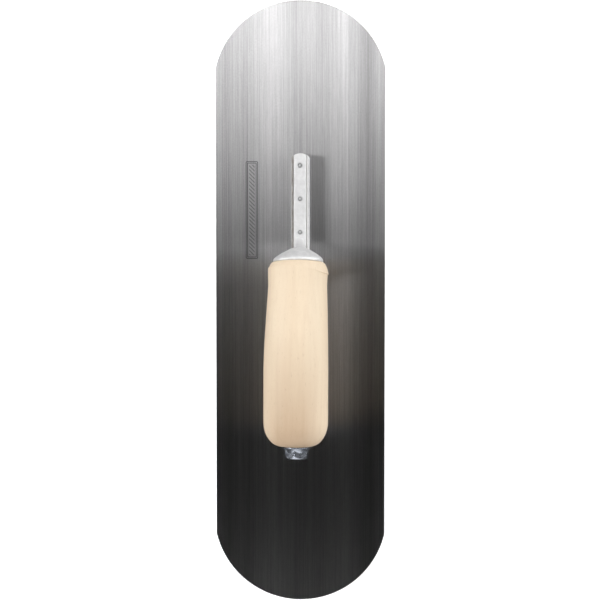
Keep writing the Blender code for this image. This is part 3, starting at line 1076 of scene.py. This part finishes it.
@dataclass
class HandleBolt:
    """A hexagon flange bolt that holds the handle against the cup."""

    axis: HandleAxis
    seat: float = 0.1191
    shank_radius: float = 0.00465
    tip: float = -0.0066
    across_flats: float = 0.01429
    head_height: float = 0.0082
    flange_radius: float = 0.00953
    flange_rim: float = 0.0008
    cone_top: float = 0.0055
    corner_easing: float = 0.00025
    chamfer_round: float = 0.0014
    chamfer_flat: float = 0.0013
    chamfer_foot: Point2 = (0.0021, 0.0038)
    turn: float = radians(8)

    def turned(self) -> Mesh:
        """The flange, its cone and the shank."""
        inner = self.across_flats / 2 - 0.0012
        r, seat, rim = self.flange_radius, self.seat, self.flange_rim
        profile = [
            (0, seat + self.cone_top),
            (inner, seat + self.cone_top),
            (r - 0.0005, seat + rim + 0.00045),
            (r - 0.0002, seat + rim + 0.0002),
            (r, seat + rim - 0.0001),
            (r, seat + 0.0002),
            (r - 0.0002, seat),
            (self.shank_radius + 0.0004, seat),
            (self.shank_radius, seat - 0.0004),
            (self.shank_radius, self.tip + 0.0008),
            (self.shank_radius - 0.0008, self.tip),
            (0, self.tip),
        ]
        return spun(profile, 96)

    def hexagon(self) -> Mesh:
        """The six-sided head, its corners eased."""
        corner, depth = self.across_flats / sqrt(3), self.head_height - 0.0006
        shape = bmesh.new()
        bmesh.ops.create_cone(shape, cap_ends=True, segments=6, radius1=corner, radius2=corner, depth=depth)
        upright = [edge for edge in shape.edges if abs(edge.verts[0].co.z - edge.verts[1].co.z) > depth / 2]
        easing = self.corner_easing
        bmesh.ops.bevel(
            shape, geom=upright, offset=easing, segments=3, profile=0.5, affect="EDGES", material=-1
        )
        turn = Matrix.Rotation(self.turn, 3, "Z")
        bmesh.ops.rotate(shape, verts=shape.verts, cent=(0, 0, 0), matrix=turn)
        bmesh.ops.translate(shape, verts=shape.verts, vec=(0, 0, self.seat + self.head_height - depth / 2))
        return shape

    def chamfer(self) -> Mesh:
        """The turned envelope that takes the head's outer corners off."""
        end, flat = self.seat + self.head_height, self.across_flats / 2
        inner, r = flat - self.chamfer_flat, self.chamfer_round
        wide, drop = self.chamfer_foot
        profile = [(0, end), (inner, end)]
        profile += arc((inner, end - r), r, radians(80), radians(30), 6)
        profile += [(flat + wide, end - drop), (flat + wide, self.seat), (0, self.seat)]
        return spun([(r, min(z, end)) for r, z in profile], 96)

    def build(self) -> bpy.types.Object:
        """Builds the bolt's mesh.

        Returns:
            The object, in its place.
        """
        bolt = as_object(self.hexagon(), "handle_bolt_plated")
        carve(bolt, "INTERSECT", self.chamfer())
        carve(bolt, "UNION", self.turned())
        shape = bmesh.new()
        shape.from_mesh(bolt.data)
        shape.transform(self.axis.matrix())
        shape.to_mesh(bolt.data)
        shape.free()
        shade(bolt, Shade.ROUND)
        return bolt


# -------------------- studio


@dataclass
class Studio:
    """A floor, a graded sky of studio light and the camera.

    Only the camera sees floor and sky plain and pale. Other rays meet a dark floor and a graded sky, so that
    the steel mirrors the light and not a white room.

    Attributes:
        overhead: The light over the tool.
        box: A narrow light box on the left.
        near_wall: A low light on the right.
        ahead: The broad light towards the toe.
        wall: A low light towards the toe, on the right.
        behind: The light from beyond the heel.
        floor_tones: The floor's colour to other rays, then to the camera.
        heel_to_toe: The grading of the first three: a direction's Y and the light from there.
    """

    aim: tuple[float, float, float] = (-0.0003, 0.00164, 0.0)
    distance: float = 1.15
    tilt: float = radians(2.99)
    sideways: float = radians(1.8)
    focal_length: float = 101.8
    floor_size: float = 8.0
    overhead: float = 0.85
    box: float = 42.0
    ahead: float = 0.98
    wall: float = 4.2
    near_wall: float = 4.6
    behind: float = 1.35
    floor_tones: tuple[Colour, Colour] = ((0.04, 0.04, 0.04), (0.9, 0.9, 0.9))
    floor_glow: float = 0.6
    floor_gap: float = 0.0002
    heel_to_toe: tuple[Point2, ...] = (
        (-0.55, 0.03), (-0.40, 0.15), (-0.24, 0.105), (-0.205, 0.017), (-0.185, 0.001),
        (-0.14, 0.0), (-0.105, 0.001), (-0.085, 0.0045), (-0.06, 0.0115), (-0.04, 0.0170),
        (-0.028, 0.045), (-0.015, 0.100), (-0.0035, 0.150), (0.0083, 0.255), (0.02, 0.405),
        (0.032, 0.48), (0.044, 0.57), (0.067, 0.73), (0.091, 1.10), (0.105, 1.50),
        (0.16, 1.50),
    )

    def floor(self) -> None:
        """Lays the floor just under the blade."""
        shape = bmesh.new()
        bmesh.ops.create_grid(shape, x_segments=1, y_segments=1, size=self.floor_size / 2)
        bmesh.ops.translate(shape, verts=shape.verts, vec=(0, 0, -self.floor_gap))
        floor = as_object(shape, "floor")
        board = NodeBoard("pale_floor", 0.9, 0.0)
        seen = board.add("ShaderNodeLightPath").outputs["Is Camera Ray"]
        board.colour(board.blend(seen, *self.floor_tones))
        board.shader.inputs["Emission Color"].default_value = (1, 1, 1, 1)
        glow = board.times(seen, self.floor_glow)
        board.tree.links.new(glow, board.shader.inputs["Emission Strength"])
        floor.data.materials.append(board.material)

    def camera(self) -> None:
        """Stands the camera nearly above the blade, a little towards its toe and right side."""
        aim = Vector(self.aim)
        away = Vector(
            (
                sin(self.sideways) * cos(self.tilt),
                sin(self.tilt),
                cos(self.sideways) * cos(self.tilt),
            )
        )
        right = Vector((0, 1, 0)).cross(away).normalized()
        turn = Matrix((right, away.cross(right), away)).transposed()
        lens = bpy.data.cameras.new("camera")
        lens.lens = self.focal_length
        lens.sensor_width = 36
        lens.clip_end = 20
        camera = bpy.data.objects.new("camera", lens)
        camera.matrix_world = Matrix.Translation(aim + away * self.distance) @ turn.to_4x4()
        bpy.context.scene.collection.objects.link(camera)
        bpy.context.scene.camera = camera

    def sky(self) -> None:
        """Surrounds the tool with light that is bright towards the toe and dark towards the heel."""
        world = bpy.data.worlds.new("studio")
        world.use_nodes = True
        sky = NodeKit(world.node_tree)
        background = sky.tree.nodes["Background"]
        background.inputs["Color"].default_value = (1, 1, 1, 1)
        x, y, z = sky.split(sky.add("ShaderNodeTexCoord").outputs["Generated"])

        def graded(value: Socket, low: float, high: float, *stops: Point2) -> Socket:
            """A ramp of grey values over a range, each stop a value in the range and its grey."""
            share = sky.math("DIVIDE", sky.math("SUBTRACT", value, low), high - low)
            return sky.ramp(share, [((place - low) / (high - low), tone) for place, tone in stops])

        mirrored = graded(y, -0.6, 0.6, *self.heel_to_toe)
        beyond = graded(y, 0.0, 1.0, (0.12, 0.0), (0.26, 1.0))
        lofty = graded(z, 0.0, 1.0, (0.0, 0.45), (0.25, 0.55), (0.45, 1.0), (0.8, 1.0))
        height = sky.math("ARCTAN2", z, sky.times(x, -1.0))
        box = graded(height, 0.3, 1.0, (0.46, 0.0), (0.52, 1.0), (0.62, 1.0), (0.70, 0.0))
        wall = graded(sky.math("ARCTAN2", z, x), 0.0, 1.0, (0.50, 1.0), (0.75, 0.0))
        near = sky.times(mirrored, sky.math("SUBTRACT", 1.0, beyond))
        overhead = sky.times(near, self.overhead)
        left = sky.times(sky.times(box, near), self.box)
        right = sky.times(sky.times(wall, near), self.near_wall)
        abeam = graded(y, 0.0, 1.0, (0.50, 1.0), (0.70, 0.35))
        fill = sky.times(sky.times(wall, abeam), self.wall)
        ahead = sky.times(beyond, sky.math("ADD", sky.times(lofty, self.ahead), fill))
        behind = sky.times(graded(y, -1.0, 0.0, (-0.70, 1.0), (-0.48, 0.0)), self.behind)
        sides = sky.math("ADD", overhead, sky.math("ADD", left, right))
        light = sky.math("ADD", sides, sky.math("ADD", ahead, behind))
        seen = sky.add("ShaderNodeLightPath").outputs["Is Camera Ray"]
        sky.tree.links.new(sky.math("MAXIMUM", light, seen), background.inputs["Strength"])
        bpy.context.scene.world = world

    def build(self) -> None:
        """Sets up floor, light and camera, and shows the colours as they are."""
        self.floor()
        self.sky()
        self.camera()
        bpy.context.scene.view_settings.view_transform = "Standard"


def rivet_places() -> list[Point2]:
    """Where each rivet stands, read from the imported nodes."""
    places = []
    for number in range(1, RIVET_COUNT + 1):
        low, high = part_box(f"rivet_{number}")
        places.append(((low[0] + high[0]) / 2, (low[1] + high[1]) / 2))
    return places


def main() -> None:
    """Builds the trowel and its studio."""
    logging.basicConfig(level=logging.INFO, format="%(name)s: %(message)s")
    axis = HandleAxis()
    places = rivet_places()
    dress(Blade(places).build(), BrushedSteel().material(), "blade_steel", "blade")
    dress(Mounting(axis, places).build(), CastAluminium().material(), "cast_aluminium", "mounting")
    steel = RivetSteel(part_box("rivet_1")[1][2]).material()
    for number, place in enumerate(places, 1):
        dress(Rivet(number, place).build(), steel, "rivet_steel", f"rivet_{number}")
    dress(Handle(axis).build(), BareBasswood().material(), "handle_wood", "handle")
    dress(HandleBolt(axis).build(), ZincPlate().material(), "bolt_zinc", "handle_bolt")
    Studio().build()


if __name__ == "__main__":
    main()
